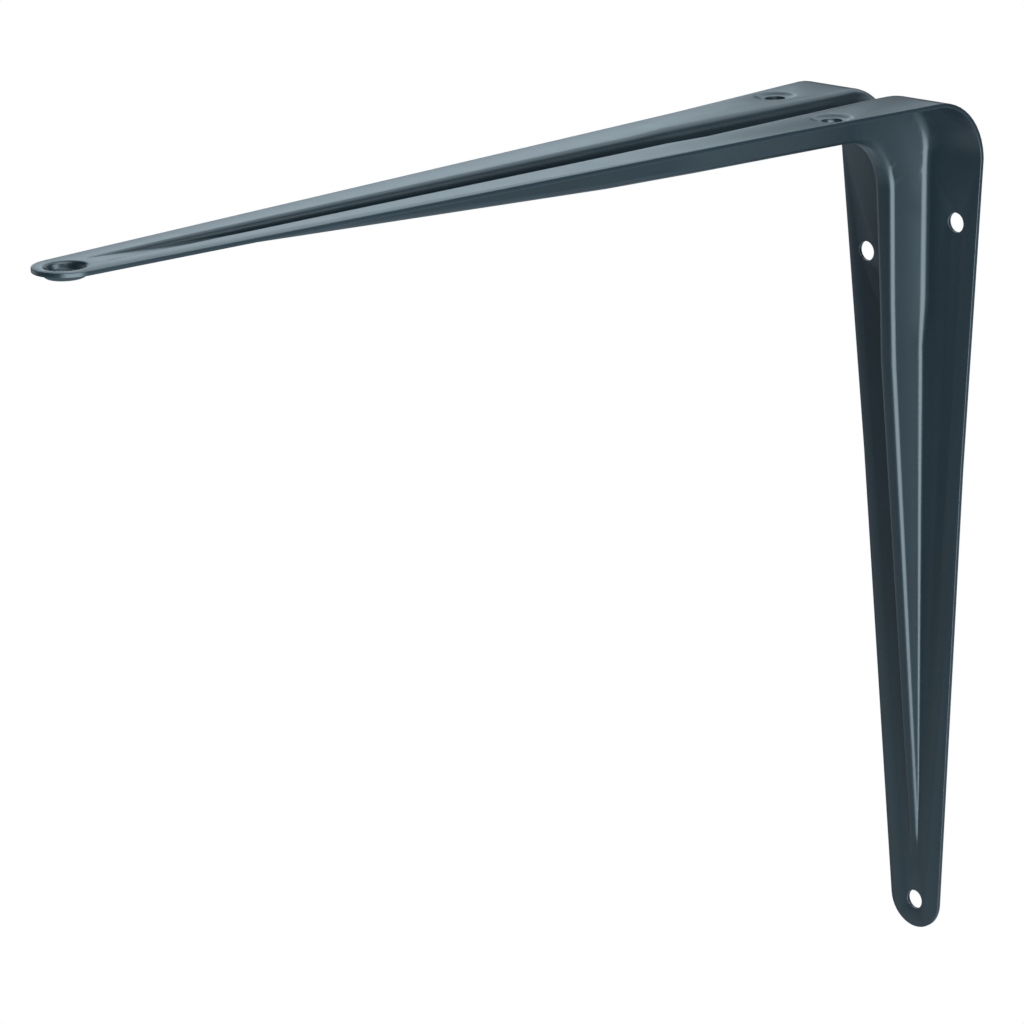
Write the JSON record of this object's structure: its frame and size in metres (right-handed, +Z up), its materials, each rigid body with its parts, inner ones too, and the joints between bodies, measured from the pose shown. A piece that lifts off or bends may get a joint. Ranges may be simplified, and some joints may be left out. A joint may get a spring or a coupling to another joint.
{
  "type": "shelf bracket",
  "caption": "Right-angled shelf bracket pressed from one steel plate, with two tapering arms, a deep central rib, rounded tips and screw holes.",
  "frame": {"origin": "the corner where the wall meets the underside of the shelf, on the bracket's centre line", "axes": "+X out from the wall along the shelf arm, +Y across the bracket, +Z up from the shelf arm's top face"},
  "size_m": [0.3, 0.053, 0.25],
  "materials": {
    "blue_grey_coat": "satin blue-grey powder coat"
  },
  "bodies": {
    "root": {"bracket": "blue_grey_coat"}
  },
  "joints": []
}
